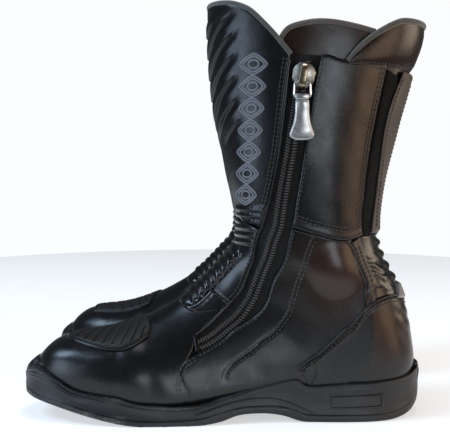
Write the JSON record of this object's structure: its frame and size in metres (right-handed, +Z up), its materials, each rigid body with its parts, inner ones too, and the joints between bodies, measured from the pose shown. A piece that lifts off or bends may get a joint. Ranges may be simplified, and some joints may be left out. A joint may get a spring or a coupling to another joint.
{
  "type": "motorcycle riding boots",
  "caption": "Pair of mid-height leather touring boots with inner-side zips, padded flex zones at instep and heel, shift pads, adjustable calf flaps and rubber soles.",
  "frame": {"origin": "on the ground, at the middle of the pair's box", "axes": "+Z up; +X towards the heels, so the toes point to -X; +Y across, from the right boot (at -Y) to the left boot (at +Y)"},
  "size_m": [0.3152, 0.2556, 0.3195],
  "materials": {
    "foot_leather": "black full-grain leather, satin with a soft polish",
    "padded_leather": "black soft leather over foam, sewn in ribs",
    "shaft_leather": "black full-grain leather, satin, slightly brown in the light",
    "sole_rubber": "matt black moulded rubber, scuffed and dusty",
    "shift_pad_rubber": "dark grey-brown matt rubber, grooved",
    "lining_fabric": "foam-backed mesh fabric",
    "zip_fabric": "woven tape with a dark coil",
    "hook_and_loop": "black fuzzy loop tape",
    "guard_plastic": "moulded plastic",
    "insole_fibreboard": "pressed fibreboard",
    "spring_steel": "plain",
    "slider_metal": "satin die-cast with a worn brass-toned bridge",
    "wire_metal": "bright wire",
    "tab_metal": "satin, worn"
  },
  "bodies": {
    "right_foot": {"right_outsole": "sole_rubber", "right_midsole": "sole_rubber", "right_insole_board": "insole_fibreboard", "right_shank": "spring_steel", "right_footbed": "lining_fabric", "right_vamp": "foot_leather", "right_shift_pad": "shift_pad_rubber", "right_heel_counter_cover": "foot_leather", "right_heel_stiffener": "guard_plastic", "right_medial_ankle_guard": "guard_plastic", "right_lateral_ankle_guard": "guard_plastic", "right_medial_quarter": "foot_leather", "right_lateral_quarter": "foot_leather", "right_medial_ankle_panel": "foot_leather", "right_instep_panel": "padded_leather", "right_achilles_panel": "padded_leather", "right_lining": "lining_fabric"},
    "right_shaft": {"right_zip_chain": "zip_fabric", "right_shin_panel": "shaft_leather", "right_shin_guard": "guard_plastic", "right_lateral_shaft_panel": "shaft_leather", "right_back_panel": "shaft_leather", "right_calf_panel": "shaft_leather", "right_rear_collar": "shaft_leather", "right_zip_gusset": "shaft_leather", "right_loop_strip": "hook_and_loop"},
    "right_calf_flap": {"right_calf_flap": "shaft_leather"},
    "right_zip_slider": {"right_zip_slider": "slider_metal"},
    "right_pull_link": {"right_pull_link": "wire_metal"},
    "right_pull_tab": {"right_pull_tab": "tab_metal"},
    "left_foot": {"left_outsole": "sole_rubber", "left_midsole": "sole_rubber", "left_insole_board": "insole_fibreboard", "left_shank": "spring_steel", "left_footbed": "lining_fabric", "left_vamp": "foot_leather", "left_shift_pad": "shift_pad_rubber", "left_heel_counter_cover": "foot_leather", "left_heel_stiffener": "guard_plastic", "left_medial_ankle_guard": "guard_plastic", "left_lateral_ankle_guard": "guard_plastic", "left_medial_quarter": "foot_leather", "left_lateral_quarter": "foot_leather", "left_medial_ankle_panel": "foot_leather", "left_instep_panel": "padded_leather", "left_achilles_panel": "padded_leather", "left_lining": "lining_fabric"},
    "left_shaft": {"left_zip_chain": "zip_fabric", "left_shin_panel": "shaft_leather", "left_shin_guard": "guard_plastic", "left_lateral_shaft_panel": "shaft_leather", "left_back_panel": "shaft_leather", "left_calf_panel": "shaft_leather", "left_rear_collar": "shaft_leather", "left_zip_gusset": "shaft_leather", "left_loop_strip": "hook_and_loop"},
    "left_calf_flap": {"left_calf_flap": "shaft_leather"},
    "left_zip_slider": {"left_zip_slider": "slider_metal"},
    "left_pull_link": {"left_pull_link": "wire_metal"},
    "left_pull_tab": {"left_pull_tab": "tab_metal"}
  },
  "joints": [
    {"name": "right_ankle_flex", "type": "hinge", "parent": "right_foot", "child": "right_shaft", "pos_m": [0.098, -0.063, 0.1], "axis": [0, -1, 0], "range_deg": [-8, 14], "stiffness_Nm_per_rad": 10, "deforming": ["right_medial_ankle_panel", "right_instep_panel", "right_achilles_panel", "right_lining", "right_zip_chain"]},
    {"name": "right_calf_flap_hinge", "type": "hinge", "parent": "right_shaft", "child": "right_calf_flap", "pos_m": [0.13665, -0.064, 0.2055], "axis": [0.1922, 0, 0.9813], "range_deg": [0, 100]},
    {"name": "right_zip_slide", "type": "slide", "parent": "right_shaft", "child": "right_zip_slider", "axis": [-0.158, 0.0942, -0.9829], "range_m": [0, 0.095]},
    {"name": "right_pull_link_hinge", "type": "hinge", "parent": "right_zip_slider", "child": "right_pull_link", "pos_m": [0.0573, -0.12275, 0.25554], "axis": [-0.9929, 0.1185, 0.0091], "range_deg": [0, 100]},
    {"name": "right_pull_tab_hinge", "type": "hinge", "parent": "right_pull_link", "child": "right_pull_tab", "pos_m": [0.0573, -0.12196, 0.24517], "axis": [-0.9929, 0.1185, 0.0091], "range_deg": [0, 80]},
    {"name": "left_boot_lift", "type": "slide", "parent": "right_foot", "child": "left_foot", "axis": [0, 0, 1], "range_m": [0, 0.4]},
    {"name": "left_ankle_flex", "type": "hinge", "parent": "left_foot", "child": "left_shaft", "pos_m": [0.098, 0.063, 0.1], "axis": [0, -1, 0], "range_deg": [-8, 14], "stiffness_Nm_per_rad": 10, "deforming": ["left_medial_ankle_panel", "left_instep_panel", "left_achilles_panel", "left_lining", "left_zip_chain"]},
    {"name": "left_calf_flap_hinge", "type": "hinge", "parent": "left_shaft", "child": "left_calf_flap", "pos_m": [0.13665, 0.064, 0.2055], "axis": [-0.1922, 0, -0.9813], "range_deg": [0, 100]},
    {"name": "left_zip_slide", "type": "slide", "parent": "left_shaft", "child": "left_zip_slider", "axis": [-0.158, -0.0942, -0.9829], "range_m": [0, 0.095]},
    {"name": "left_pull_link_hinge", "type": "hinge", "parent": "left_zip_slider", "child": "left_pull_link", "pos_m": [0.0573, 0.12275, 0.25554], "axis": [0.9929, 0.1185, -0.0091], "range_deg": [0, 100]},
    {"name": "left_pull_tab_hinge", "type": "hinge", "parent": "left_pull_link", "child": "left_pull_tab", "pos_m": [0.0573, 0.12196, 0.24517], "axis": [0.9929, 0.1185, -0.0091], "range_deg": [0, 80]}
  ]
}
